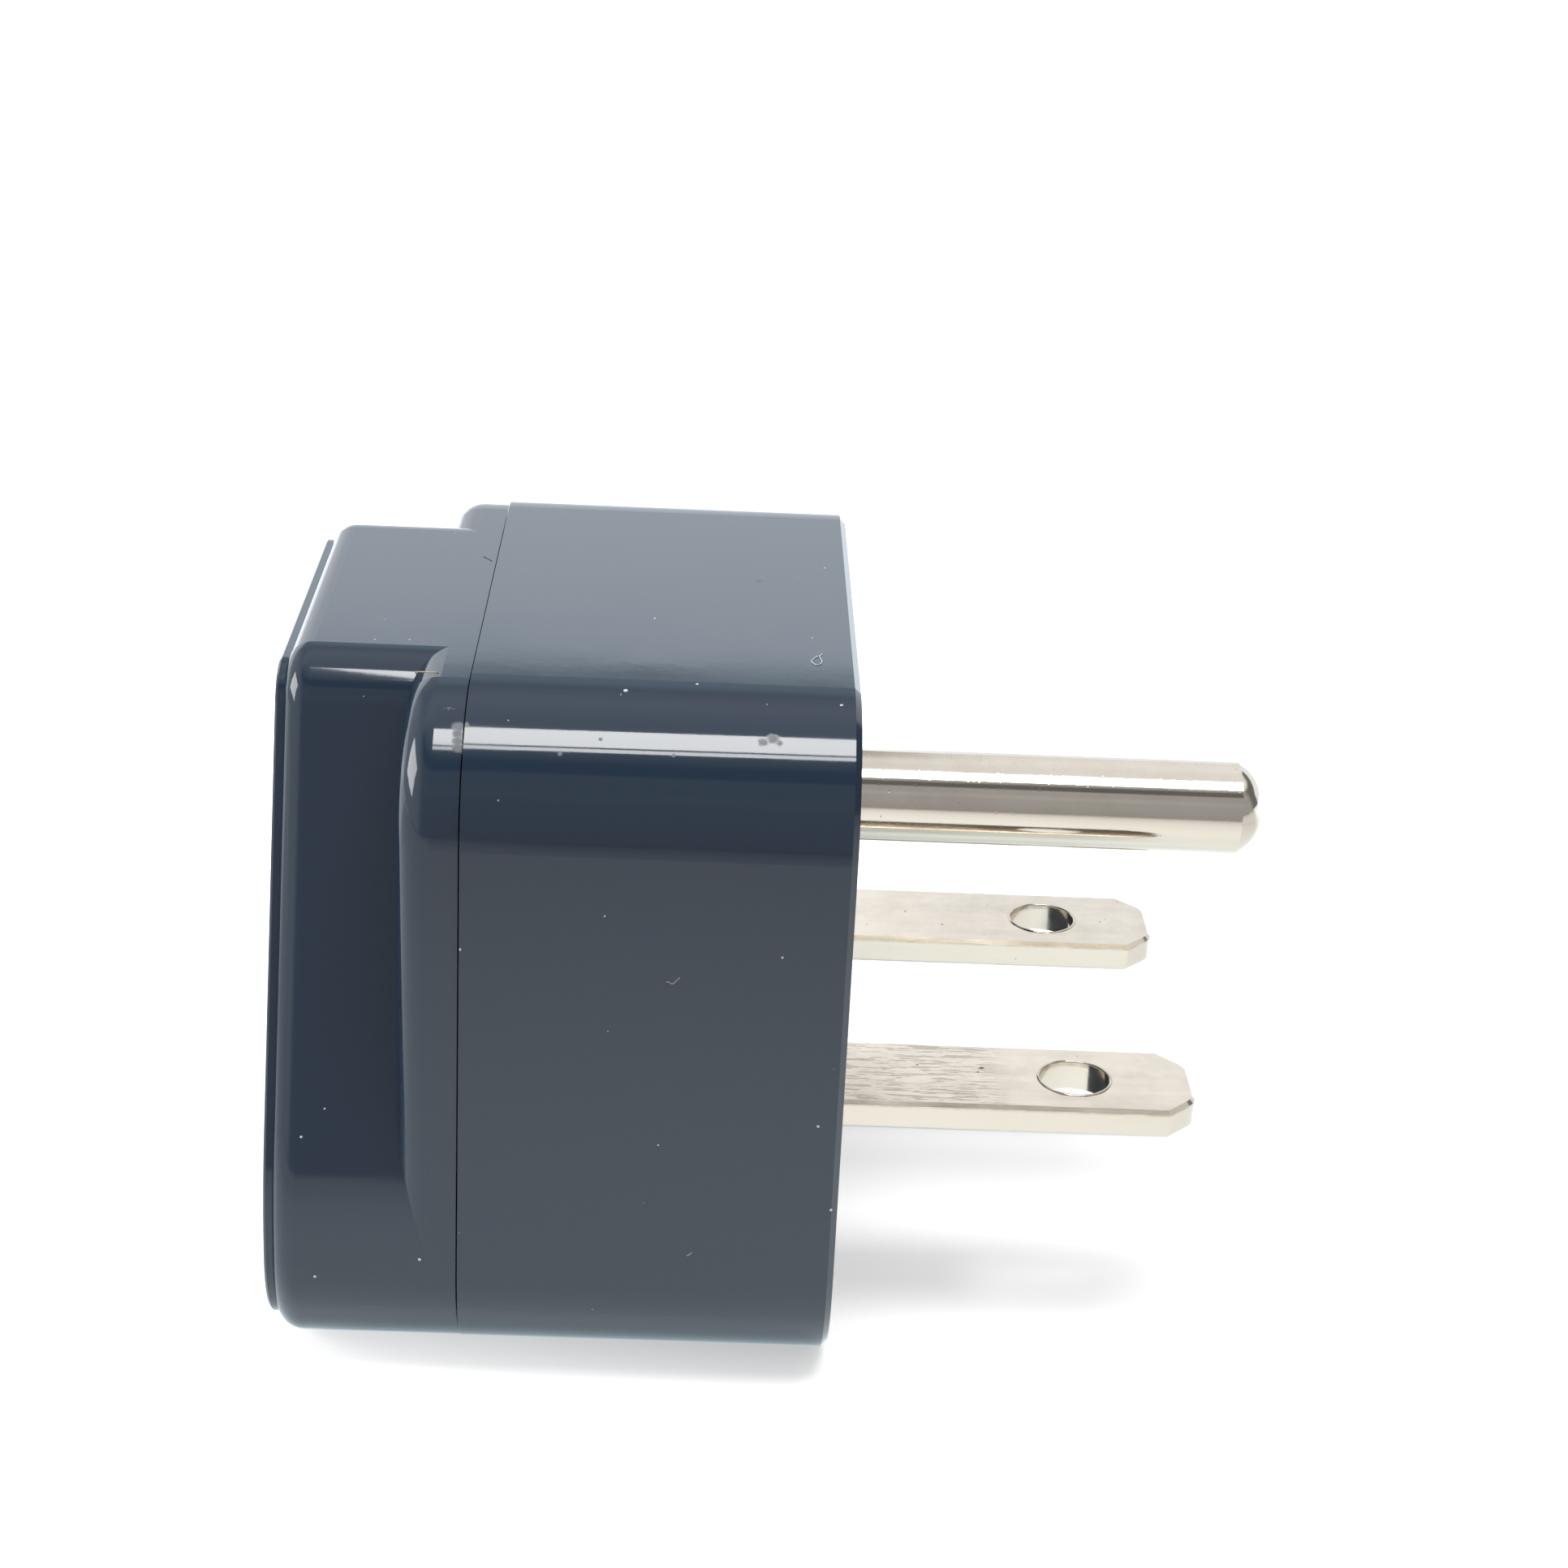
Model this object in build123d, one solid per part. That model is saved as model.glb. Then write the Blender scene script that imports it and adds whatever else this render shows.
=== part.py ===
from build123d import *
import os

# Plug adapter, millimetres. +X is the way the plug pins point, +Z is up towards the ground pin.
# The origin is under the middle of the whole length, on the flat bottom that the adapter stands on.

# Overall body
BODY_WIDTH = 37.6
BODY_HEIGHT = 34.8
BODY_LENGTH = 27.5
BASE_LENGTH = 18.1
FLANGE_THICK = 3.0
PART_GAP = 0.08
LAND_HEIGHT = 0.35
LAND_INSET = 0.85
LAND_EDGE = 0.12
LAND_ROOT = 0.2
CORNER_R = 6.3
FACE_EDGE = 0.3

# Socket block: its sides run up flush with the base, then lean in to a narrow top
KNEE_Z = 9.8
KNEE_R = 20.0
BLOCK_TOP_HALF = 10.8
BLOCK_CORNER_R = 3.0
BLOCK_EDGE_R = 1.3
FLANGE_EDGE_R = 1.6
FLANGE_SIDE_INSET = 0.12
FLANGE_TOP_INSET = 0.2

# Walls
SIDE_WALL = 2.0
TOP_WALL = 1.5
BOTTOM_WALL = 1.9
FACE_WALL = 2.2
BLOCK_WALL = 1.4
SOCKET_WALL = 1.65

# Plug pins
BLADE_PITCH = 18.64
BLADE_WIDTH = 6.35
BLADE_THICK = 1.52
BLADE_LENGTH = 18.0
BLADE_Z = 12.25
BLADE_BEVEL = 0.18
BLADE_NOSE = 1.45
BLADE_NOSE_R = 1.4
BLADE_HOLE_R = 1.8
BLADE_HOLE_BACK = 5.95
BLADE_SHOULDER = 9.0
GROUND_RISE = 11.9
GROUND_R = 2.4
GROUND_LENGTH = 21.9
GROUND_DOME = 1.5
GROUND_SHOULDER_R = 3.4
SEAT_R = 2.7
SEAT_BACK = 0.05
MOULD_FIT = 0.03

# Staked tails of the pins
TENON_WIDTH = 3.2
TENON_R = 1.4
SHOULDER = 1.0
PEEN = 0.6
PEEN_WIDTH = 4.4
PEEN_THICK = 2.62
PEEN_R = 2.2

# Socket for square-pin and round-pin plugs
ROW_Z = 5.35
ROW_HALF_PITCH = 11.1
EARTH_RISE = 22.23
ROW_SLOT = (7.3, 4.5)
EARTH_SLOT = (4.6, 8.2)
ROUND_HALF_PITCH = 9.5
ROUND_R = 2.5
SLOT_CORNER_R = 0.4
SLOT_DEPTH = 3.0

# Stamped contacts: folded leaves, with an ear or strip that is staked to the pin
STRIP = 0.6
STRIP_WIDTH = 5.2
STRIP_CORNER_R = 0.8
LEAF_TIP_X = -19.6
LEAF_FLARE_X = -17.6
LEAF_GRIP_X = -12.4
LEAF_ROOT_X = -3.0
LEAF_BEND_R = 0.8
ROOT_BEND_R = 0.4
FLARE = 0.7
ROW_GRIP = 3.4
ROW_ROOT = 3.9
ROW_LEAF = (-1.8, 1.9)
EAR_OVERLAP = 1.0
EAR_SHIFT = 0.3
EAR_ABOVE = 2.4
EARTH_GRIP = 2.15
EARTH_ROOT = 2.6
EARTH_LEAF = (-3.6, 3.6)
STRIP_OVERLAP = 1.0
STRIP_BELOW = 2.9

# Spring steel staples over the leaves
SPRING = 0.4
CLIP_X = -16.6
CLIP_LENGTH = 3.4
CLIP_CORNER_R = 0.6
ROW_CLIP_HALF = 3.7
ROW_CLIP = (2.1, -1.4)
EARTH_CLIP_HALF = 2.45
EARTH_CLIP = (-4.1, 2.6)

# Screws
SCREW_Y = 13.4
SCREW_Z = 27.4
SCREW_R = 1.45
SCREW_CLEAR = 0.15
SCREW_FIT = 0.02
SCREW_END_X = -14.6
PILOT_SPARE = 0.4
HEAD_R = 2.6
HEAD_HEIGHT = 1.5
HEAD_DEPTH = 1.6
HEAD_EDGE = 0.35
CROSS_WIDTH = 2.6
CROSS_SLOT = 0.7
CROSS_FLOOR = 0.6
BOSS_R = 2.9
COVER_BOSS_R = 2.6

# Carrier plate between the bosses, with guides that the leaves pass through
CARRIER_X = -8.0
CARRIER_THICK = 1.6
CARRIER_CLEAR = 0.2
CARRIER_FOOT_CLEAR = 0.1
GUIDE_X = -12.2
GUIDE_WALL = 1.0
ROW_GUIDE = (8.9, 6.6)
ROW_GUIDE_RISE = 0.4
EARTH_GUIDE = (6.4, 8.6)

# Locating lip of the cover, open where the plug pins' contacts pass
LIP = 1.0
LIP_LENGTH = 1.65
LIP_CLEAR = 0.1
LIP_NOTCH = 18.4
LIP_NOTCH_DEPTH = 6.0

# Places worked out from the sizes above
PIN_TIP_X = (BODY_LENGTH + GROUND_LENGTH) / 2
FACE_X = PIN_TIP_X - GROUND_LENGTH
PART_X = FACE_X - BASE_LENGTH
FLANGE_BACK_X = PART_X - PART_GAP
FLANGE_X = PART_X - FLANGE_THICK
LAND_X = FACE_X - BODY_LENGTH
BLOCK_X = LAND_X + LAND_HEIGHT
CAVITY_X = BLOCK_X + SOCKET_WALL
WALL_X = FACE_X - FACE_WALL
SHOULDER_X = WALL_X - SHOULDER
STRIP_X = SHOULDER_X - STRIP
PEEN_X = STRIP_X - PEEN
GROUND_Z = BLADE_Z + GROUND_RISE
EARTH_Z = ROW_Z + EARTH_RISE
HALF = BODY_WIDTH / 2
CARRIER_BACK_X = CARRIER_X - CARRIER_THICK
LIP_OUT = SIDE_WALL + LIP_CLEAR
LIP_OUT_TOP = TOP_WALL + LIP_CLEAR
LIP_OUT_BOTTOM = BOTTOM_WALL + LIP_CLEAR
LIP_X = FLANGE_BACK_X + LIP_LENGTH


def prism(profile, x_from, x_to):
    """A solid whose section, drawn in Y and Z, runs along X between two stations."""
    return extrude(Plane.YZ.offset(x_from) * profile, x_to - x_from)


def tube_along_x(radius, y, z, x_from, x_to):
    return prism(Pos(y, z) * Circle(radius), x_from, x_to)


def block_along_x(width, height, y, z, x_from, x_to):
    return prism(Pos(y, z) * Rectangle(width, height), x_from, x_to)


def housing_outline(side=0.0, top=0.0, bottom=0.0):
    """The rounded section of the base shell, moved in by a wall on each side."""
    half = HALF - side
    high = BODY_HEIGHT - top
    corner = CORNER_R - max(side, top)
    foot = CORNER_R - max(side, bottom)
    corners = [(-half, bottom), (half, bottom), (half, high), (-half, high)]
    return make_face(FilletPolyline(*corners, radius=[foot, foot, corner, corner], close=True))


def block_outline(inset=0.0):
    """The socket block's section: flush at the foot, leaning in above the knee."""
    half = HALF - FLANGE_SIDE_INSET
    high = BODY_HEIGHT - FLANGE_TOP_INSET
    corners = [(-half, 0), (half, 0), (half, KNEE_Z), (BLOCK_TOP_HALF, high),
               (-BLOCK_TOP_HALF, high), (-half, KNEE_Z)]
    foot = CORNER_R - FLANGE_SIDE_INSET
    radii = [foot, foot, KNEE_R, BLOCK_CORNER_R, BLOCK_CORNER_R, KNEE_R]
    face = make_face(FilletPolyline(*corners, radius=radii, close=True))
    return offset(face, amount=-inset) if inset else face


def edges_at_x(solid, x):
    return solid.edges().filter_by_position(Axis.X, x - 0.01, x + 0.01)


def base_shell():
    """Moulded cup that carries the plug pins, with two screw bosses inside."""
    shell = prism(housing_outline(), PART_X, FACE_X)
    shell = chamfer(edges_at_x(shell, FACE_X), FACE_EDGE)
    shell -= prism(housing_outline(SIDE_WALL, TOP_WALL, BOTTOM_WALL), PART_X, WALL_X)
    slot = (BLADE_WIDTH + 2 * MOULD_FIT, BLADE_THICK + 2 * MOULD_FIT)
    for side in (-1, 1):
        y = side * SCREW_Y
        shell += tube_along_x(BOSS_R, y, SCREW_Z, CARRIER_X, WALL_X)
        shell -= tube_along_x(SCREW_R + SCREW_CLEAR, y, SCREW_Z, CARRIER_X, FACE_X)
        shell -= tube_along_x(HEAD_R + SCREW_CLEAR, y, SCREW_Z, FACE_X - HEAD_DEPTH, FACE_X)
        shell -= block_along_x(*slot, side * BLADE_PITCH / 2, BLADE_Z, WALL_X, FACE_X)
    return shell - tube_along_x(SEAT_R + MOULD_FIT, 0, GROUND_Z, WALL_X, FACE_X)


def aperture_row(side):
    """One current-pin opening: a square-pin slot with a round-pin hole at its inner end."""
    slot = Pos(side * ROW_HALF_PITCH, ROW_Z) * RectangleRounded(*ROW_SLOT, SLOT_CORNER_R)
    return slot + Pos(side * ROUND_HALF_PITCH, ROW_Z) * Circle(ROUND_R)


def socket_cover():
    """Moulded front: a flange with the base's outline, and the leaning socket block on it."""
    flange_face = housing_outline(FLANGE_SIDE_INSET, FLANGE_TOP_INSET, 0)
    flange = prism(flange_face, FLANGE_X, FLANGE_BACK_X)
    flange = fillet(edges_at_x(flange, FLANGE_X), FLANGE_EDGE_R)
    block = prism(block_outline(), BLOCK_X, FLANGE_BACK_X)
    block = fillet(edges_at_x(block, BLOCK_X), BLOCK_EDGE_R)
    land = prism(block_outline(LAND_INSET), LAND_X, BLOCK_X + LAND_ROOT)
    land = chamfer(edges_at_x(land, LAND_X), LAND_EDGE)
    cover = flange + block + land
    # Hollow behind the socket face, wider again inside the flange
    cover -= prism(block_outline(BLOCK_WALL), CAVITY_X, FLANGE_BACK_X)
    wide = housing_outline(LIP_OUT + LIP, LIP_OUT_TOP + LIP, LIP_OUT_BOTTOM + LIP)
    cover -= prism(wide, FLANGE_X + BLOCK_WALL, FLANGE_BACK_X)
    # Lip that locates inside the base shell
    lip = prism(housing_outline(LIP_OUT, LIP_OUT_TOP, LIP_OUT_BOTTOM), FLANGE_BACK_X, LIP_X)
    lip -= prism(wide, FLANGE_BACK_X, LIP_X)
    lip -= block_along_x(LIP_NOTCH, 2 * LIP_NOTCH_DEPTH, 0, BODY_HEIGHT, FLANGE_BACK_X, LIP_X)
    lip -= block_along_x(BODY_WIDTH, 2 * ROW_Z, 0, ROW_Z, FLANGE_BACK_X, LIP_X)
    cover += lip
    for side in (-1, 1):
        y = side * SCREW_Y
        cover += tube_along_x(COVER_BOSS_R, y, SCREW_Z, FLANGE_X + BLOCK_WALL, CARRIER_BACK_X)
        pilot_x = SCREW_END_X - PILOT_SPARE
        cover -= tube_along_x(SCREW_R + SCREW_FIT, y, SCREW_Z, pilot_x, CARRIER_BACK_X)
        cover -= prism(aperture_row(side), LAND_X, LAND_X + SLOT_DEPTH)
    earth = Pos(0, EARTH_Z) * RectangleRounded(*EARTH_SLOT, SLOT_CORNER_R)
    return cover - prism(earth, LAND_X, LAND_X + SLOT_DEPTH)


def blade(side):
    """Flat plug blade with bevelled edges, a chamfered nose, a hole and a staked tail."""
    y = side * BLADE_PITCH / 2
    tip = FACE_X + BLADE_LENGTH
    bar = Pos((WALL_X + tip) / 2, y, BLADE_Z) * Box(tip - WALL_X, BLADE_WIDTH, BLADE_THICK)
    nose = bar.edges().filter_by(Axis.Z).group_by(Axis.X)[-1]
    bar = chamfer(nose, BLADE_NOSE)
    bar = fillet(bar.edges().filter_by(Axis.Z).group_by(Axis.X)[-1], BLADE_NOSE_R)
    half_thick = BLADE_THICK / 2 - 0.01
    outside = [edge for edge in bar.edges() if abs(edge.center().Z - BLADE_Z) > half_thick]
    outside = [edge for edge in outside if edge.center().X > WALL_X + 0.01]
    bar = chamfer(outside, BLADE_BEVEL)
    bar -= Pos(tip - BLADE_HOLE_BACK, y, BLADE_Z) * Cylinder(BLADE_HOLE_R, 2 * BLADE_THICK)
    bar += block_along_x(BLADE_SHOULDER, BLADE_THICK, y, BLADE_Z, SHOULDER_X, WALL_X)
    bar += block_along_x(TENON_WIDTH, BLADE_THICK, y, BLADE_Z, STRIP_X, SHOULDER_X)
    return bar + block_along_x(PEEN_WIDTH, PEEN_THICK, y, BLADE_Z, PEEN_X, STRIP_X)


def ground_pin():
    """Turned pin with a shallow domed tip, a seat in the wall, a shoulder and a riveted tail."""
    dome_r = (GROUND_R ** 2 + GROUND_DOME ** 2) / (2 * GROUND_DOME)
    dome_x = PIN_TIP_X - GROUND_DOME
    steps = [(PEEN_X, PEEN_R), (STRIP_X, TENON_R), (SHOULDER_X, GROUND_SHOULDER_R),
             (WALL_X, SEAT_R), (FACE_X - SEAT_BACK, GROUND_R)]
    with BuildPart() as pin:
        with BuildSketch(Plane.XZ):
            with BuildLine():
                points = [(PIN_TIP_X, 0), (PEEN_X, 0)]
                for x, radius in steps:
                    points += [(x, points[-1][1]), (x, radius)]
                points = points[:2] + points[3:] + [(dome_x, GROUND_R)]
                Polyline(*points)
                RadiusArc((dome_x, GROUND_R), (PIN_TIP_X, 0), dome_r)
            make_face()
        revolve(axis=Axis.X)
    return Pos(0, 0, GROUND_Z) * pin.part


def leaf_pair(half_grip, half_root, y, z_from, z_to):
    """A strip folded into a U: a base across the tail and two leaves that close on a plug pin."""
    base_x = (STRIP_X + SHOULDER_X) / 2
    side = [(LEAF_TIP_X, half_grip + FLARE), (LEAF_FLARE_X, half_grip), (LEAF_GRIP_X, half_grip),
            (LEAF_ROOT_X, half_root), (base_x, half_root)]
    route = side + [(x, -w) for x, w in reversed(side)]
    bends = [LEAF_BEND_R] * 3 + [ROOT_BEND_R] * 2 + [LEAF_BEND_R] * 3
    path = FilletPolyline(*route, radius=bends)
    section = make_face(offset(path, amount=STRIP / 2, side=Side.BOTH, kind=Kind.ARC, closed=True))
    section -= Pos(LEAF_TIP_X, 0) * Rectangle(STRIP, 4 * half_grip)
    return Pos(0, y, z_from) * extrude(section, z_to - z_from)


def staked_strip(y, z_from, z_to):
    """The flat of a contact that lies against a pin's shoulder."""
    outline = RectangleRounded(STRIP_WIDTH, z_to - z_from, STRIP_CORNER_R)
    return prism(Pos(y, (z_from + z_to) / 2) * outline, STRIP_X, SHOULDER_X)


def row_contact(side):
    """Current contact: its leaves grip one plug pin, its ear is staked to the blade above."""
    low, high = ROW_LEAF
    contact = leaf_pair(ROW_GRIP, ROW_ROOT, side * ROW_HALF_PITCH, ROW_Z + low, ROW_Z + high)
    blade_y = side * BLADE_PITCH / 2
    contact += staked_strip(blade_y + side * EAR_SHIFT, ROW_Z + EAR_OVERLAP, BLADE_Z + EAR_ABOVE)
    return contact - block_along_x(TENON_WIDTH, BLADE_THICK, blade_y, BLADE_Z, STRIP_X, SHOULDER_X)


def earth_contact():
    """Earth contact: taller leaves above, and a strip down to the ground pin's tail."""
    low, high = EARTH_LEAF
    contact = leaf_pair(EARTH_GRIP, EARTH_ROOT, 0, EARTH_Z + low, EARTH_Z + high)
    contact += staked_strip(0, GROUND_Z - STRIP_BELOW, EARTH_Z + STRIP_OVERLAP)
    return contact - tube_along_x(TENON_R, 0, GROUND_Z, STRIP_X, SHOULDER_X)


def spring_clip(half_inside, y, z_bridge, z_end):
    """Spring steel staple over a pair of leaves."""
    up = 1 if z_bridge > z_end else -1
    outer_z = z_bridge + up * SPRING
    outer = Pos(y, (outer_z + z_end) / 2) * Rectangle(2 * (half_inside + SPRING), abs(outer_z - z_end))
    outer = fillet(outer.vertices().group_by(Axis.Y)[-1 if up > 0 else 0], CLIP_CORNER_R)
    inside = Pos(y, (z_bridge + z_end) / 2) * Rectangle(2 * half_inside, abs(z_bridge - z_end))
    return prism(outer - inside, CLIP_X, CLIP_X + CLIP_LENGTH)


def contact_carrier():
    """Moulded plate clamped between the bosses, with guides that keep the contacts apart."""
    inside = housing_outline(SIDE_WALL + CARRIER_CLEAR, TOP_WALL + CARRIER_CLEAR,
                             BOTTOM_WALL + CARRIER_FOOT_CLEAR)
    plate = prism(inside, CARRIER_BACK_X, CARRIER_X)
    windows = [(ROW_GUIDE, -ROW_HALF_PITCH, ROW_Z + ROW_GUIDE_RISE),
               (ROW_GUIDE, ROW_HALF_PITCH, ROW_Z + ROW_GUIDE_RISE),
               (EARTH_GUIDE, 0, EARTH_Z)]
    for (width, height), y, z in windows:
        sleeve = Rectangle(width + 2 * GUIDE_WALL, height + 2 * GUIDE_WALL)
        plate += prism((Pos(y, z) * sleeve) & inside, GUIDE_X, CARRIER_BACK_X)
        plate -= block_along_x(width, height, y, z, GUIDE_X, CARRIER_X)
    for side in (-1, 1):
        clear = SCREW_R + SCREW_CLEAR
        plate -= tube_along_x(clear, side * SCREW_Y, SCREW_Z, CARRIER_BACK_X, CARRIER_X)
    return plate


def housing_screw(side):
    """Self-tapping screw with a cross recess, driven in from the plug face."""
    seat_x = FACE_X - HEAD_DEPTH
    top_x = seat_x + HEAD_HEIGHT
    y = side * SCREW_Y
    screw = tube_along_x(HEAD_R, y, SCREW_Z, seat_x, top_x)
    screw = chamfer(edges_at_x(screw, top_x), HEAD_EDGE)
    screw += tube_along_x(SCREW_R, y, SCREW_Z, SCREW_END_X, seat_x)
    for width, height in ((CROSS_WIDTH, CROSS_SLOT), (CROSS_SLOT, CROSS_WIDTH)):
        screw -= block_along_x(width, height, y, SCREW_Z, seat_x + CROSS_FLOOR, top_x)
    return screw


def row_clip(side):
    bridge, end = ROW_CLIP
    return spring_clip(ROW_CLIP_HALF, side * ROW_HALF_PITCH, ROW_Z + bridge, ROW_Z + end)


def earth_clip():
    bridge, end = EARTH_CLIP
    return spring_clip(EARTH_CLIP_HALF, 0, EARTH_Z + bridge, EARTH_Z + end)


nodes = {
    "base_shell": base_shell(),
    "socket_cover": socket_cover(),
    "contact_carrier": contact_carrier(),
    "live_blade": blade(-1),
    "neutral_blade": blade(1),
    "ground_pin": ground_pin(),
    "live_contact": row_contact(-1),
    "neutral_contact": row_contact(1),
    "earth_contact": earth_contact(),
    "live_spring_clip": row_clip(-1),
    "neutral_spring_clip": row_clip(1),
    "earth_spring_clip": earth_clip(),
    "housing_screws": Compound(children=[housing_screw(-1), housing_screw(1)]),
}

os.makedirs("parts", exist_ok=True)
for name, solid in nodes.items():
    export_step(solid, f"parts/{name}.step")
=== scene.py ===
import bmesh
import bpy
import math
import random
from mathutils import Matrix, Vector
from mathutils.bvhtree import BVHTree


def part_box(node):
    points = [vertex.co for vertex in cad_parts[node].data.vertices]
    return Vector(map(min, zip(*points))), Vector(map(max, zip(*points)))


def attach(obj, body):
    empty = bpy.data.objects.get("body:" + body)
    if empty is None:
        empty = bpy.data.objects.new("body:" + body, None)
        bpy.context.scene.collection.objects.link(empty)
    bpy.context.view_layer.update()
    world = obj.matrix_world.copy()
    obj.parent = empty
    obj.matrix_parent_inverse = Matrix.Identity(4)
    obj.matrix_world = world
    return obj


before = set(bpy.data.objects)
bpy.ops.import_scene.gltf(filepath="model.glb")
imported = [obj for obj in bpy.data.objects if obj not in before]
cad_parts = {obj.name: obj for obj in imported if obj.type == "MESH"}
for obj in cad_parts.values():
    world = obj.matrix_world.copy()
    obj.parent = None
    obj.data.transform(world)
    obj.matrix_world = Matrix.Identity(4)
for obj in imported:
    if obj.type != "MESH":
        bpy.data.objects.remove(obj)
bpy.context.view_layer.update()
mm = 0.001

print("camera")
# The camera as fitted to the photograph, angles in degrees
view = {
    "place": Vector((-4.745, -146.47, 86.69)) * mm,
    "pitch": 22.99,
    "yaw": 1.78,
    "roll": 2.88,
    "focalPixels": 3810.5,
    "imagePixels": 1932,
    "sensor": 36,
    "nearest": 1 * mm,
    "farthest": 20,
}


def cameraAxes():
    pitch, yaw, roll = (math.radians(view[key]) for key in ("pitch", "yaw", "roll"))
    forward = Vector((math.sin(yaw) * math.cos(pitch), math.cos(yaw) * math.cos(pitch), -math.sin(pitch)))
    level = Vector((math.cos(yaw), -math.sin(yaw), 0))
    upright = level.cross(forward)
    right = level * math.cos(roll) + upright * math.sin(roll)
    up = upright * math.cos(roll) - level * math.sin(roll)
    return right, up, forward


def addCamera():
    right, up, forward = cameraAxes()
    place = view["place"]
    data = bpy.data.cameras.new("photoCamera")
    data.sensor_fit = "HORIZONTAL"
    data.sensor_width = view["sensor"]
    data.lens = view["focalPixels"] / view["imagePixels"] * view["sensor"]
    data.clip_start = view["nearest"]
    data.clip_end = view["farthest"]
    camera = bpy.data.objects.new("photoCamera", data)
    camera.matrix_world = Matrix((
        (right.x, up.x, -forward.x, place.x),
        (right.y, up.y, -forward.y, place.y),
        (right.z, up.z, -forward.z, place.z),
        (0, 0, 0, 1)))
    bpy.context.scene.collection.objects.link(camera)
    bpy.context.scene.camera = camera


addCamera()
bpy.context.scene.view_settings.view_transform = "Standard"


def surfaceOf(*names):
    mesh = bmesh.new()
    for name in names:
        mesh.from_mesh(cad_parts[name].data)
    tree = BVHTree.FromBMesh(mesh)
    mesh.free()
    return tree


outside = surfaceOf("base_shell", "socket_cover", "live_blade", "neutral_blade", "ground_pin")


# Where a pixel of the photograph lies on the object, with the surface's direction there
def seat(column, row):
    right, up, forward = cameraAxes()
    centre = view["imagePixels"] / 2
    ray = forward * view["focalPixels"] + right * (column - centre) - up * (row - centre)
    place, normal = outside.ray_cast(view["place"], ray.normalized())[:2]
    return place, normal


class Shading:
    def __init__(self, tree):
        self.nodes = tree.nodes
        self.links = tree.links

    def node(self, kind, output, inputs=(), **settings):
        node = self.nodes.new(kind)
        for key, value in settings.items():
            setattr(node, key, value)
        for socket, value in inputs:
            if isinstance(value, bpy.types.NodeSocket):
                self.links.new(value, node.inputs[socket])
            else:
                node.inputs[socket].default_value = value
        return node.outputs[output]

    def range(self, value, fromLow, fromHigh, toLow, toHigh, smooth=False):
        kind = "SMOOTHSTEP" if smooth else "LINEAR"
        ends = (("From Min", fromLow), ("From Max", fromHigh), ("To Min", toLow), ("To Max", toHigh))
        return self.node("ShaderNodeMapRange", "Result", (("Value", value), *ends), interpolation_type=kind)

    def math(self, operation, first, second=0):
        return self.node("ShaderNodeMath", "Value", ((0, first), (1, second)), operation=operation)

    def blend(self, factor, first, second):
        return self.node("ShaderNodeMix", 2, ((0, factor), (6, first), (7, second)), data_type="RGBA")

    def distance(self, first, second):
        return self.node("ShaderNodeVectorMath", "Value", ((0, first), (1, second)), operation="DISTANCE")

    def part(self, source, axis):
        return self.node("ShaderNodeSeparateXYZ", axis, ((0, source),))

    def ramp(self, value, stops):
        node = self.nodes.new("ShaderNodeValToRGB")
        self.links.new(value, node.inputs["Fac"])
        elements = node.color_ramp.elements
        elements.remove(elements[1])
        for index, (height, level) in enumerate(stops):
            element = elements.new(height) if index else elements[0]
            element.position = height
            element.color = (level, level, level, 1)
        return node.outputs["Color"]


print("lights")
# Lengths in metres, turns about the light's own axis in degrees, radiance as the object mirrors it
lights = {
    "topSoftbox": {
        "size": (0.158, 0.0706),
        "place": (0.031, -0.0567, 0.28),
        "toward": (0, 0, -1),
        "turn": 10,
        "radiance": 13,
        "colour": (1, 1, 1),
    },
    "topSlit": {
        "size": (0.158, 0.016),
        "place": (0.036, -0.107, 0.28),
        "toward": (0, 0, -1),
        "turn": 10,
        "radiance": 11,
        "colour": (1, 1, 1),
    },
    "sideSoftbox": {
        "size": (0.34, 0.26),
        "place": (-0.57, -0.077, 0.25),
        "toward": (0.57, 0.077, -0.23),
        "turn": 0,
        "radiance": 7,
        "colour": (1, 1, 1),
    },
    # White card behind the object, low enough that the top's front mirrors what is above it
    "backCard": {
        "size": (0.6, 0.076),
        "place": (0, 0.1, 0.0392),
        "toward": (0, -1, 0),
        "turn": -0.26,
        "radiance": 0.88,
        "colour": (0.96, 1.0, 1.07),
    },
}


def addLight(name, light):
    wide, high = light["size"]
    data = bpy.data.lights.new(name, "AREA")
    data.shape = "RECTANGLE"
    data.size = wide
    data.size_y = high
    data.color = light["colour"]
    data.energy = light["radiance"] * math.pi * wide * high
    lamp = bpy.data.objects.new(name, data)
    lamp.location = light["place"]
    lamp.rotation_euler = Vector(light["toward"]).to_track_quat("-Z", "Y").to_euler()
    lamp.rotation_euler.rotate_axis("Z", math.radians(light["turn"]))
    lamp.visible_camera = False
    bpy.context.scene.collection.objects.link(lamp)


for name, light in lights.items():
    addLight(name, light)

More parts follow.
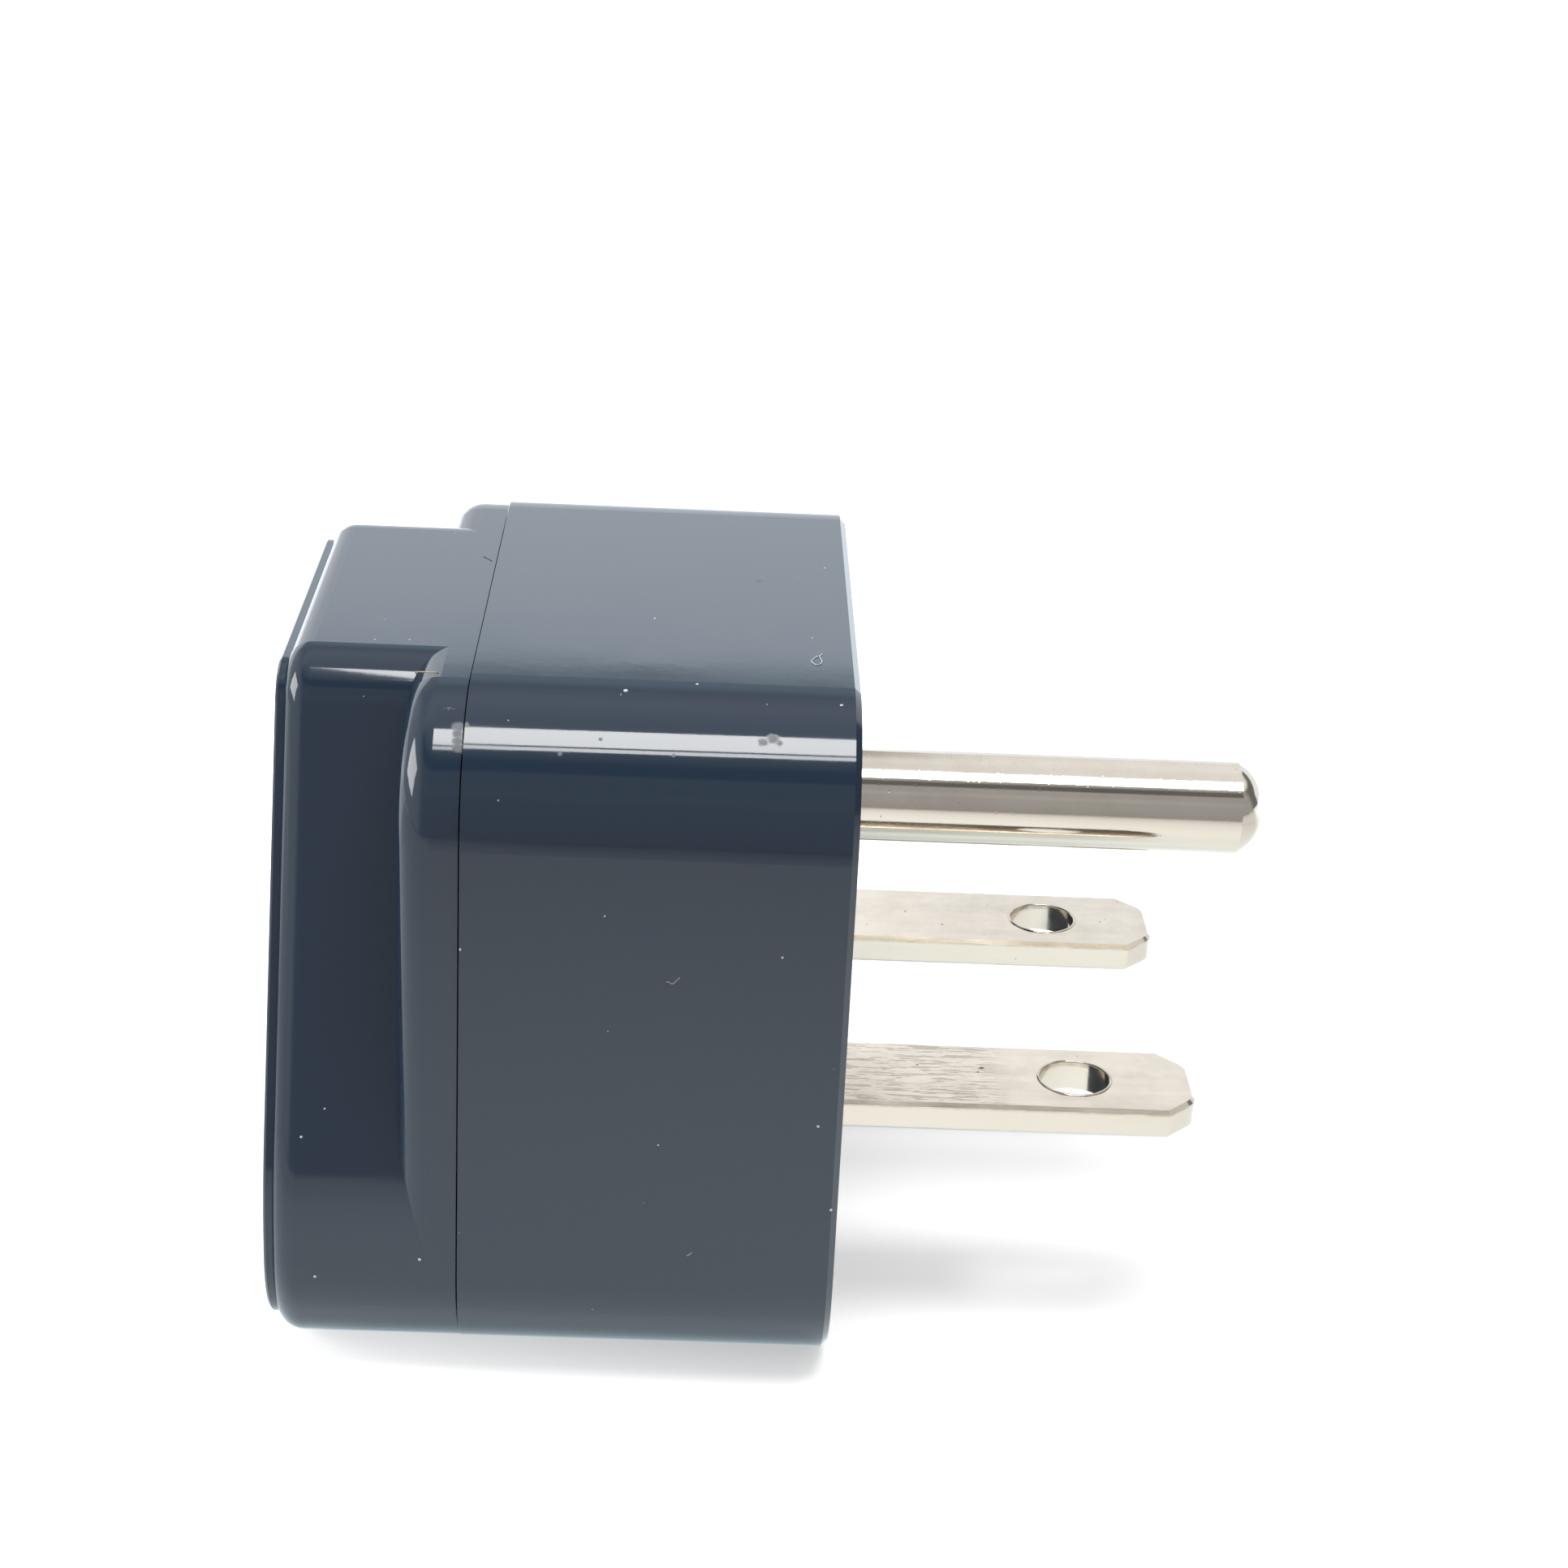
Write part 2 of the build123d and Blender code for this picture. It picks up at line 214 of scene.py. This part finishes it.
print("tent")
tent = {
    # Height of the direction, from 0 at the horizon to 1 overhead, and the tent's brightness there
    "back": ((0.5, 0.45), (0.69, 0.48), (0.725, 0.58), (0.775, 0.64), (0.81, 0.75), (0.9, 0.92), (1.0, 0.85)),
    "right": ((0.46, 0.18), (0.495, 1.0), (0.8, 1.05), (1.0, 0.95)),
    "front": ((0.35, 0.42), (0.475, 0.48), (0.58, 0.42), (0.71, 0.42), (0.74, 0.15), (0.83, 0.15),
              (0.87, 0.4), (1.0, 0.88)),
    "left": ((0.5, 0.98), (0.75, 0.92), (1.0, 0.85)),
    # Parts of the direction between which one side gives way to the next
    "backToRight": (0.05, 0.09),
    "backToFront": (0.12, -0.12),
    "allToLeft": (-0.45, -0.75),
    "white": (1, 1, 1, 1),
}


def addTent():
    world = bpy.data.worlds.new("tent")
    bpy.context.scene.world = world
    world.use_nodes = True
    shading = Shading(world.node_tree)
    direction = shading.node("ShaderNodeTexCoord", "Generated")
    across = shading.part(direction, "X")
    away = shading.part(direction, "Y")
    rise = shading.part(direction, "Z")
    back, right, front, left = (shading.ramp(rise, tent[side]) for side in ("back", "right", "front", "left"))
    glow = shading.blend(shading.range(across, *tent["backToRight"], 0, 1, True), back, right)
    glow = shading.blend(shading.range(away, *tent["backToFront"], 0, 1, True), glow, front)
    glow = shading.blend(shading.range(across, *tent["allToLeft"], 0, 1, True), glow, left)
    seen = shading.node("ShaderNodeLightPath", "Is Camera Ray")
    glow = shading.blend(seen, glow, tent["white"])
    shading.links.new(glow, shading.nodes["Background"].inputs["Color"])


addTent()

print("table")
# Lengths in metres
table = {
    "reach": 0.8,
    # Painted shade: the colour darkens towards the front edge, for the object to mirror
    "frontEdge": -0.15,
    "paintedShadeFrom": -0.084,
    "colour": 0.70,
    "paintedShadeColour": 0.18,
    # On the left the painted shade begins further forward
    "leftSpan": (-0.018, -0.032),
    "leftShifts": (0, 0.022),
    # Glow that keeps the table white to the camera, with less of it near the object for its shadow
    "seenCentre": (0.014, 0.008, 0),
    "seenReach": (0.015, 0.075),
    "seenLevels": (0.42, 1.0),
    # Glow that only the object mirrors, near its foot and behind it
    "footReach": (0.022, 0.085),
    "footLevels": (0.74, 0.02),
    "behindReach": (0.005, 0.03),
    "behindLevels": (0, 0.7),
    "mirroredTint": (0.74, 0.93, 1.0, 1),
}


def tableFinish():
    material = bpy.data.materials.new("whiteFloor")
    material.use_nodes = True
    shading = Shading(material.node_tree)
    shading.nodes.remove(shading.nodes["Principled BSDF"])
    place = shading.node("ShaderNodeTexCoord", "Object")
    away = shading.part(place, "Y")
    leftward = shading.range(shading.part(place, "X"), *table["leftSpan"], *table["leftShifts"])
    # Painted shade, darker towards the front edge
    fade = (table["frontEdge"], table["paintedShadeFrom"], table["paintedShadeColour"], table["colour"])
    shade = shading.range(shading.math("ADD", away, leftward), *fade)
    diffuse = shading.node("ShaderNodeBsdfDiffuse", "BSDF", (("Color", shade),))
    distance = shading.distance(place, table["seenCentre"])
    seen = shading.range(distance, *table["seenReach"], *table["seenLevels"], True)
    seen = shading.math("MULTIPLY", seen, shading.node("ShaderNodeLightPath", "Is Camera Ray"))
    seen = shading.node("ShaderNodeEmission", "Emission", (("Strength", seen),))
    foot = shading.range(shading.distance(place, (0, 0, 0)), *table["footReach"], *table["footLevels"])
    behind = shading.range(away, *table["behindReach"], *table["behindLevels"], True)
    mirrored = shading.math("MAXIMUM", foot, behind)
    mirrored = shading.math("MULTIPLY", mirrored, shading.node("ShaderNodeLightPath", "Is Glossy Ray"))
    inputs = (("Color", table["mirroredTint"]), ("Strength", mirrored))
    mirrored = shading.node("ShaderNodeEmission", "Emission", inputs)
    total = shading.node("ShaderNodeAddShader", "Shader", ((0, diffuse), (1, seen)))
    total = shading.node("ShaderNodeAddShader", "Shader", ((0, total), (1, mirrored)))
    shading.links.new(total, shading.nodes["Material Output"].inputs["Surface"])
    return material


def addTable():
    data = bpy.data.meshes.new("whiteFloor")
    mesh = bmesh.new()
    bmesh.ops.create_grid(mesh, x_segments=1, y_segments=1, size=table["reach"])
    bmesh.ops.translate(mesh, verts=mesh.verts, vec=(0, table["frontEdge"] + table["reach"], 0))
    mesh.to_mesh(data)
    mesh.free()
    data.materials.append(tableFinish())
    floor = bpy.data.objects.new("whiteFloor", data)
    bpy.context.scene.collection.objects.link(floor)


addTable()

print("materials")
patchShape = {
    # Scale, detail and roughness of the noise that makes the edge ragged
    "noise": (2600, 4, 0.7),
    "ragged": 0.5,
    "core": 0.85,
}

speckShape = {
    # Solid share of a speck's size
    "core": 0.5,
    # Noise that picks the specks that show: its scale in the specks' own, and its soft edge
    "pickScale": 0.6,
    "pickEdge": 0.04,
}


class Finish(Shading):
    def __init__(self, name):
        self.material = bpy.data.materials.new(name)
        self.material.use_nodes = True
        super().__init__(self.material.node_tree)
        self.shader = self.nodes["Principled BSDF"]
        texture = self.nodes.new("ShaderNodeTexCoord")
        self.coordinates = texture.outputs["Object"]
        self.facing = texture.outputs["Normal"]

    def set(self, key, value):
        self.shader.inputs[key].default_value = value

    def to(self, key, value):
        self.links.new(value, self.shader.inputs[key])

    def noise(self, scale, detail=3, roughness=0.5, stretch=(1, 1, 1)):
        mapped = self.node("ShaderNodeMapping", "Vector", (("Vector", self.coordinates), ("Scale", stretch)))
        inputs = (("Vector", mapped), ("Scale", scale), ("Detail", detail), ("Roughness", roughness))
        return self.node("ShaderNodeTexNoise", "Fac", inputs)

    # Small round spots, thinly scattered
    def specks(self, scale, size, share):
        inputs = (("Vector", self.coordinates), ("Scale", scale))
        cells = self.node("ShaderNodeTexVoronoi", "Distance", inputs)
        pick = self.noise(scale * speckShape["pickScale"], 1)
        few = self.range(pick, 1 - share, 1 - share + speckShape["pickEdge"], 0, 1)
        return self.math("MULTIPLY", self.range(cells, size * speckShape["core"], size, 1, 0), few)

    # One ragged patch around a place on the surface
    def patch(self, place, reach):
        ragged = patchShape["ragged"] * reach
        edge = self.math("MULTIPLY", self.noise(*patchShape["noise"]), ragged * 2)
        distance = self.math("ADD", self.distance(self.coordinates, tuple(place)), edge)
        return self.range(distance, patchShape["core"] * reach, reach + ragged, 1, 0)

    # The patches of a list of photograph pixels, each with its reach in mm
    def patches(self, listed):
        total = None
        for pixel, reach in listed:
            patch = self.patch(seat(*pixel)[0], reach * mm)
            total = patch if total is None else self.math("MAXIMUM", total, patch)
        return total

    def bump(self, height, strength, depth, under=None):
        inputs = [("Height", height), ("Strength", strength), ("Distance", depth)]
        if under is not None:
            inputs.append(("Normal", under))
        return self.node("ShaderNodeBump", "Normal", inputs)


plastic = {
    "refraction": 1.55,
    "body": (0.0118, 0.0240, 0.0432, 1),
    # Painted top light: a lighter shade of the body for what faces up
    "paintedTopLight": (0.0190, 0.0430, 0.0680, 1),
    "dust": (0.30, 0.31, 0.33, 1),
    "scuff": (0.14, 0.15, 0.16, 1),
    "scuffShare": 0.7,
    "rough": (0.045, 0.10),
    "scuffRough": 0.45,
    # Scale, detail and roughness of the smudges
    "smudge": (90, 4, 0.6),
    # Parts of the smudges' noise that change the roughness and that thin the painted top light
    "roughSpan": (0.35, 0.7),
    "topLightSpan": (0.2, 0.7),
    "topLightShare": (0.75, 1.0),
    # Upward part of the surface's direction over which the painted top light sets in
    "level": (0.985, 0.9995),
    # Scale, size and share of the fine specks
    "specks": (900, 0.05, 0.42),
    # Scale and detail of the moulding's slow wave and fine grain, with strength and depth
    "wave": (130, 2),
    "waveBump": (0.30, 0.02 * mm),
    "grain": (1500, 3),
    "grainBump": (0.22, 0.004 * mm),
    # Photograph pixel and reach in mm of each rubbed place
    "scuffs": (((940, 915), 0.30), ((953, 911), 0.36), ((961, 916), 0.20), ((740, 911), 0.13),
               ((553, 873), 0.12), ((566, 897), 0.24), ((690, 929), 0.12), ((830, 931), 0.10),
               ((575, 893), 0.14), ((935, 716), 0.30), ((564, 895), 0.32), ((564, 904), 0.32),
               ((564, 913), 0.32), ((564, 921), 0.28)),
}


def mouldedPlastic(name):
    finish = Finish(name)
    finish.set("IOR", plastic["refraction"])
    smudge = finish.noise(*plastic["smudge"])
    scuffed = finish.patches(plastic["scuffs"])
    rough = finish.range(smudge, *plastic["roughSpan"], *plastic["rough"])
    rubbed = finish.math("MULTIPLY", scuffed, plastic["scuffRough"])
    finish.to("Roughness", finish.math("ADD", rough, rubbed))
    # Painted top light, a lighter shade on what is level, and fine specks of dust all over
    upward = finish.range(finish.part(finish.facing, "Z"), *plastic["level"], 0, 1, True)
    thinned = finish.range(smudge, *plastic["topLightSpan"], *plastic["topLightShare"])
    topLit = finish.math("MULTIPLY", upward, thinned)
    shade = finish.blend(topLit, plastic["body"], plastic["paintedTopLight"])
    shade = finish.blend(finish.specks(*plastic["specks"]), shade, plastic["dust"])
    shade = finish.blend(finish.math("MULTIPLY", scuffed, plastic["scuffShare"]), shade, plastic["scuff"])
    finish.to("Base Color", shade)
    wave = finish.bump(finish.noise(*plastic["wave"]), *plastic["waveBump"])
    finish.to("Normal", finish.bump(finish.noise(*plastic["grain"]), *plastic["grainBump"], wave))
    return finish.material


nickel = {
    "pinShades": ((0.75, 0.695, 0.62, 1), (0.70, 0.64, 0.56, 1)),
    "pinStretch": (0.06, 1, 1),
    "pinRough": (0.05, 0.14),
    "bladeShades": ((0.70, 0.635, 0.54, 1), (0.62, 0.56, 0.47, 1)),
    "bladeStretch": (0.12, 1, 1),
    "bladeRough": (0.11, 0.22),
    # Painted reflection of the table: what faces sideways and down gets a warmer, darker shade
    "paintedReflection": (0.59, 0.52, 0.44, 1),
    "paintedReflectionFrom": 0.35,
    "paintedReflectionTo": -0.1,
    "pit": (0.10, 0.085, 0.07, 1),
    # Scale, detail and roughness of the drawn streaks and of the clouds between the two shades
    "streak": (900, 5, 0.65),
    "streakSpan": (0.3, 0.7),
    "streakBump": (0.22, 0.005 * mm),
    "cloud": (420, 5, 0.65),
    "cloudSpan": (0.40, 0.70),
    # Scale, size and share of the small pits all over
    "worn": (1500, 0.07, 0.42),
    "wornBump": (0.5, -0.02 * mm),
    # Photograph pixel and reach in mm of the larger pits in the blades
    "pits": (((1209, 1316), 0.16), ((1205, 1321), 0.10), ((1115, 1123), 0.09), ((1161, 1139), 0.08),
             ((1355, 1136), 0.07), ((1361, 1133), 0.05), ((1130, 1312), 0.07)),
    # Tiny dents that scatter glints along the edges of what the pin mirrors
    "dents": (5600, 0.34, 0.5),
    "dentBump": (0.4, -0.003 * mm),
}


class NickelPlate(Finish):
    def __init__(self, name, shades, stretch, rough):
        super().__init__(name)
        self.set("Metallic", 1.0)
        streak = self.noise(*nickel["streak"], stretch)
        cloud = self.noise(*nickel["cloud"])
        shade = self.blend(self.range(cloud, *nickel["cloudSpan"], 0, 1), *shades)
        facing = self.part(self.facing, "Z")
        # Painted reflection of the table on faces turned sideways and down
        paintedReflectionShare = self.range(facing, nickel["paintedReflectionFrom"], nickel["paintedReflectionTo"], 0, 1, True)
        self.shade = self.blend(paintedReflectionShare, shade, nickel["paintedReflection"])
        self.worn = self.specks(*nickel["worn"])
        self.normal = self.bump(streak, *nickel["streakBump"])
        self.to("Roughness", self.range(streak, *nickel["streakSpan"], *rough))

    def done(self):
        self.to("Base Color", self.blend(self.worn, self.shade, nickel["pit"]))
        self.to("Normal", self.bump(self.worn, *nickel["wornBump"], self.normal))
        return self.material


def pinNickel():
    finish = NickelPlate("pinNickel", nickel["pinShades"], nickel["pinStretch"], nickel["pinRough"])
    dents = finish.specks(*nickel["dents"])
    finish.normal = finish.bump(dents, *nickel["dentBump"], finish.normal)
    return finish.done()


# The hole in each blade, with the blade's own middle height, in metres
bladeLow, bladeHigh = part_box("live_blade")
hole = {
    "x": bladeHigh.x - 5.95 * mm,
    "y": abs(bladeLow.y + bladeHigh.y) / 2,
    "middle": (bladeLow.z + bladeHigh.z) / 2,
    "radius": 1.8 * mm,
    "halfThick": 0.76 * mm,
    "bevel": 0.18 * mm,
}

# A brown band under the blade's upper edges and a brown ring around its hole
brownMarks = {
    "colour": (0.36, 0.29, 0.21, 1),
    "share": 0.8,
    "line": 0.16 * mm,
    "ring": 0.22 * mm,
    "ringShare": 0.5,
    # Scale, detail and roughness of the noise that breaks it up, with its span and levels
    "noise": (1300, 4, 0.7),
    "noiseSpan": (0.38, 0.6),
    "noiseLevels": (0.25, 1),
    # A face counts as a side face while less of its direction than this is up or down
    "sideFace": 0.5,
}


def bladeBrownMarks(finish):
    rise = finish.math("SUBTRACT", finish.part(finish.coordinates, "Z"), hole["middle"])
    edge = hole["halfThick"] - hole["bevel"]
    tilt = finish.math("ABSOLUTE", finish.part(finish.facing, "Z"))
    side = finish.math("LESS_THAN", tilt, brownMarks["sideFace"])
    line = finish.math("MULTIPLY", finish.range(rise, edge - brownMarks["line"], edge, 0, 1, True), side)
    outward = finish.math("ABSOLUTE", finish.part(finish.coordinates, "Y"))
    across = finish.math("SUBTRACT", outward, hole["y"])
    along = finish.math("SUBTRACT", finish.part(finish.coordinates, "X"), hole["x"])
    squares = (finish.math("MULTIPLY", across, across), finish.math("MULTIPLY", along, along))
    reach = finish.math("SQRT", finish.math("ADD", *squares))
    ring = finish.range(reach, hole["radius"], hole["radius"] + brownMarks["ring"], 1, 0, True)
    flat = finish.math("MULTIPLY", finish.math("SUBTRACT", 1, side), brownMarks["ringShare"])
    ring = finish.math("MULTIPLY", ring, flat)
    broken = finish.range(finish.noise(*brownMarks["noise"]), *brownMarks["noiseSpan"], *brownMarks["noiseLevels"])
    return finish.math("MULTIPLY", finish.math("MAXIMUM", line, ring), broken)


# Short grinding marks on the upper face of the near blade, from its root to a photograph pixel
grinding = {
    "colour": (0.36, 0.32, 0.275, 1),
    "share": 0.7,
    "end": seat(1255, 1325)[0].x,
    "fade": 2.5 * mm,
    # Scale, detail, roughness and stretch of the noise whose peaks are the marks
    "dashes": (6500, 2, 0.6, (0.10, 1, 1)),
    "dashSpan": (0.54, 0.57),
    # Upward part of the surface's direction over which they set in, and the Y over which they end
    "level": (0.8, 0.95),
    "nearBlade": (-6 * mm, -5 * mm),
    "bump": (0.5, -0.004 * mm),
}


def grindingMarks(finish):
    dashes = finish.range(finish.noise(*grinding["dashes"]), *grinding["dashSpan"], 0, 1)
    end = grinding["end"]
    root = finish.range(finish.part(finish.coordinates, "X"), end - grinding["fade"], end, 1, 0, True)
    upward = finish.range(finish.part(finish.facing, "Z"), *grinding["level"], 0, 1)
    nearBlade = finish.range(finish.part(finish.coordinates, "Y"), *grinding["nearBlade"], 1, 0)
    marks = finish.math("MULTIPLY", dashes, root)
    return finish.math("MULTIPLY", marks, finish.math("MULTIPLY", upward, nearBlade))


def bladeNickel():
    finish = NickelPlate("bladeNickel", nickel["bladeShades"], nickel["bladeStretch"], nickel["bladeRough"])
    finish.worn = finish.math("MAXIMUM", finish.worn, finish.patches(nickel["pits"]))
    marks = grindingMarks(finish)
    share = finish.math("MULTIPLY", marks, grinding["share"])
    finish.shade = finish.blend(share, finish.shade, grinding["colour"])
    share = finish.math("MULTIPLY", bladeBrownMarks(finish), brownMarks["share"])
    finish.shade = finish.blend(share, finish.shade, brownMarks["colour"])
    finish.normal = finish.bump(marks, *grinding["bump"], finish.normal)
    return finish.done()


innerMetals = {
    # Colour and least roughness of the pieces inside and of the screws
    "contactBrass": ((0.62, 0.45, 0.18, 1), 0.25),
    "springSteel": ((0.4, 0.41, 0.43, 1), 0.3),
    "screwSteel": ((0.55, 0.55, 0.54, 1), 0.25),
    # Scale, detail, roughness and stretch of their grain, and what it does
    "grain": (1500, 4, 0.6, (0.2, 1, 1)),
    "grainSpan": (0.3, 0.7),
    "grainBump": (0.3, 0.004 * mm),
    "darkShare": 0.7,
    "rougher": 0.15,
}


def darker(colour, share):
    return tuple(value * share for value in colour[:3]) + (1,)


def plainMetal(name):
    shade, rough = innerMetals[name]
    finish = Finish(name)
    finish.set("Metallic", 1.0)
    grain = finish.noise(*innerMetals["grain"])
    finish.to("Base Color", finish.blend(grain, darker(shade, innerMetals["darkShare"]), shade))
    roughness = finish.range(grain, *innerMetals["grainSpan"], rough, rough + innerMetals["rougher"])
    finish.to("Roughness", roughness)
    finish.to("Normal", finish.bump(grain, *innerMetals["grainBump"]))
    return finish.material


# A dull paint that varies between a darker and a full shade
def dullPaint(name, noise, dark, full, rough):
    finish = Finish(name)
    finish.to("Base Color", finish.blend(finish.noise(*noise), dark, full))
    finish.set("Roughness", rough)
    return finish.material


carrier = {
    "noise": (700, 3),
    "dark": (0.03, 0.03, 0.032, 1),
    "full": (0.06, 0.06, 0.065, 1),
    "rough": 0.5,
}


def dress(material, *names):
    for name in names:
        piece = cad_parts[name]
        for slot in piece.material_slots:
            slot.material = material
        if not piece.material_slots:
            piece.data.materials.append(material)


bladeMaterial = bladeNickel()
dress(mouldedPlastic("basePlastic"), "base_shell")
dress(mouldedPlastic("coverPlastic"), "socket_cover")
dress(bladeMaterial, "live_blade", "neutral_blade")
dress(pinNickel(), "ground_pin")
dress(plainMetal("contactBrass"), "live_contact", "neutral_contact", "earth_contact")
dress(plainMetal("springSteel"), "live_spring_clip", "neutral_spring_clip", "earth_spring_clip")
dress(plainMetal("screwSteel"), "housing_screws")
dress(dullPaint("carrierPlastic", **carrier), "contact_carrier")


def finishPiece(name, mesh, material):
    data = bpy.data.meshes.new(name)
    mesh.to_mesh(data)
    mesh.free()
    piece = bpy.data.objects.new(name, data)
    bpy.context.scene.collection.objects.link(piece)
    data.materials.append(material)
    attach(piece, "root")
    return piece


print("dust")
dust = {
    "seed": 11,
    # Photograph pixel and half width in mm
    "specks": (((771, 851), 0.11), ((859, 843), 0.075), ((1037, 869), 0.085), ((462, 788), 0.05),
               ((505, 788), 0.05), ((945, 868), 0.03), ((964, 1180), 0.05), ((567, 1170), 0.07),
               ((745, 1129), 0.05), ((400, 1366), 0.05), ((371, 1401), 0.06), ((388, 1573), 0.07),
               ((517, 1552), 0.06), ((1024, 1491), 0.07), ((811, 1411), 0.055), ((1008, 1388), 0.065),
               ((807, 762), 0.05), ((1016, 700), 0.05), ((565, 1101), 0.05), ((448, 858), 0.02),
               ((765, 856), 0.04), ((1001, 786), 0.05)),
    # Specks on the sides that the photograph doesn't show, half width in mm
    "strays": 45,
    "strayHalf": (0.025, 0.06),
    "middle": Vector((-12, 0, 17)) * mm,
    "startDistance": 0.1,
    "lowestFacing": -0.3,
    "spread": (0.7, 1.3),
    "flatness": 0.45,
    "colour": (0.62, 0.63, 0.62, 1),
    "darkShare": 0.75,
    "noise": (5000, 2),
    "rough": 0.9,
}


def addSpeck(mesh, place, normal, half, draw):
    wide = half * draw.uniform(*dust["spread"])
    deep = half * draw.uniform(*dust["spread"])
    spread = Matrix.Diagonal((wide, deep, half * dust["flatness"], 1))
    upright = normal.to_track_quat("Z", "Y").to_matrix().to_4x4()
    turn = upright @ Matrix.Rotation(draw.uniform(0, math.pi), 4, "Z")
    matrix = Matrix.Translation(place) @ turn @ spread
    bmesh.ops.create_icosphere(mesh, subdivisions=2, radius=1, matrix=matrix)


def addDust():
    draw = random.Random(dust["seed"])
    mesh = bmesh.new()
    for pixel, half in dust["specks"]:
        addSpeck(mesh, *seat(*pixel), half * mm, draw)
    shell = surfaceOf("base_shell", "socket_cover")
    placed = 0
    while placed < dust["strays"]:
        away = Vector((draw.gauss(0, 1), draw.gauss(0, 1), draw.gauss(0, 1))).normalized()
        place, normal = shell.ray_cast(dust["middle"] + away * dust["startDistance"], -away)[:2]
        half = draw.uniform(*dust["strayHalf"]) * mm
        # The photographed sides have their own specks, and the bottom keeps clear of the table
        if place is None or normal.dot(view["place"] - place) > 0 or normal.z < dust["lowestFacing"]:
            continue
        addSpeck(mesh, place, normal, half, draw)
        placed += 1
    colour = dust["colour"]
    dark = darker(colour, dust["darkShare"])
    material = dullPaint("dustWhite", dust["noise"], dark, colour, dust["rough"])
    finishPiece("dustSpecks", mesh, material)


addDust()

print("lint")
lint = {
    "darkShare": 0.7,
    "noise": (6000, 2),
    "rough": 0.8,
    # Height of a fibre's middle above the surface, in its own radii
    "lift": 0.9,
    # Order of the curve, steps between its points and steps around its section
    "order": 3,
    "steps": 5,
    "sectionSteps": 2,
    "weld": 1e-7,
}

# Photograph pixels that each fibre passes through, its radius in mm and its colour
fibres = {
    "curledFibre": (((1013, 806), (1011, 809), (1007, 809), (1003, 812), (999, 815), (1003, 819),
                     (1009, 820), (1013, 817), (1012, 812), (1009, 809)), 0.024, (0.60, 0.61, 0.63, 1)),
    "bentFibre": (((821, 1210), (824, 1209), (828, 1213), (833, 1209), (838, 1204)),
                  0.022, (0.30, 0.33, 0.32, 1)),
    "seamFibre": (((596, 686), (600, 687.5), (606, 691)), 0.022, (0.20, 0.21, 0.23, 1)),
    "strawFibre": (((512, 828), (520, 828), (530, 829), (540, 829)), 0.028, (0.44, 0.38, 0.24, 1)),
    "shortFibre": (((846, 1547), (850, 1546), (852, 1543)), 0.022, (0.35, 0.38, 0.40, 1)),
    "archedFibre": (((546, 875), (550, 872), (556, 873), (561, 875)), 0.020, (0.20, 0.22, 0.24, 1)),
}


def addFibre(name, pixels, radius, shade):
    path = bpy.data.curves.new(name, "CURVE")
    path.dimensions = "3D"
    path.bevel_depth = radius * mm
    path.bevel_resolution = lint["sectionSteps"]
    path.use_fill_caps = True
    spline = path.splines.new("NURBS")
    spline.points.add(len(pixels) - 1)
    for point, pixel in zip(spline.points, pixels):
        place, normal = seat(*pixel)
        point.co = (*(place + normal * radius * lint["lift"] * mm), 1)
    spline.order_u = lint["order"]
    spline.use_endpoint_u = True
    spline.resolution_u = lint["steps"]
    rod = bpy.data.objects.new(name, path)
    mesh = bmesh.new()
    shape = bpy.data.meshes.new_from_object(rod)
    mesh.from_mesh(shape)
    bpy.data.objects.remove(rod)
    bpy.data.curves.remove(path)
    bpy.data.meshes.remove(shape)
    bmesh.ops.remove_doubles(mesh, verts=mesh.verts, dist=lint["weld"])
    bmesh.ops.recalc_face_normals(mesh, faces=mesh.faces)
    material = dullPaint(name, lint["noise"], darker(shade, lint["darkShare"]), shade, lint["rough"])
    finishPiece(name, mesh, material)


for name, (pixels, radius, shade) in fibres.items():
    addFibre(name, pixels, radius, shade)

print("burrs")
# The thin raised lip that the punch left around each blade's hole
burr = {
    "seed": 5,
    "radius": 0.075 * mm,
    "outset": 0.02 * mm,
    "segments": 8,
    "steps": 72,
    "weld": 1e-7,
    # Waves per turn of the lip's height, and its least share and growth
    "rates": (2, 5, 11),
    "least": 0.25,
    "growth": 0.9,
}


def addBurr(name, side, draw):
    mesh = bmesh.new()
    middle = Vector((hole["x"], side * hole["y"], hole["middle"] + hole["halfThick"]))
    start = middle + Vector((hole["radius"] + burr["outset"], 0, 0))
    section = Matrix.Translation(start) @ Matrix.Rotation(math.pi / 2, 4, "X")
    bmesh.ops.create_circle(mesh, segments=burr["segments"], radius=burr["radius"], matrix=section)
    bmesh.ops.spin(mesh, geom=mesh.verts[:] + mesh.edges[:], cent=middle, axis=(0, 0, 1), angle=2 * math.pi,
                   steps=burr["steps"], use_merge=True, use_duplicate=False)
    bmesh.ops.remove_doubles(mesh, verts=mesh.verts, dist=burr["weld"])
    shifts = [draw.uniform(0, 2 * math.pi) for _ in burr["rates"]]
    for vertex in mesh.verts:
        if vertex.co.z <= middle.z:
            continue
        around = math.atan2(vertex.co.y - middle.y, vertex.co.x - middle.x)
        waves = [math.sin(rate * around + shift) for rate, shift in zip(burr["rates"], shifts)]
        swell = 0.5 + 0.5 * sum(waves) / len(waves)
        vertex.co.z = middle.z + (vertex.co.z - middle.z) * (burr["least"] + burr["growth"] * swell)
    bmesh.ops.recalc_face_normals(mesh, faces=mesh.faces)
    piece = finishPiece(name, mesh, bladeMaterial)
    for polygon in piece.data.polygons:
        polygon.use_smooth = True


burrDraw = random.Random(burr["seed"])
addBurr("liveBladeBurr", -1, burrDraw)
addBurr("neutralBladeBurr", 1, burrDraw)
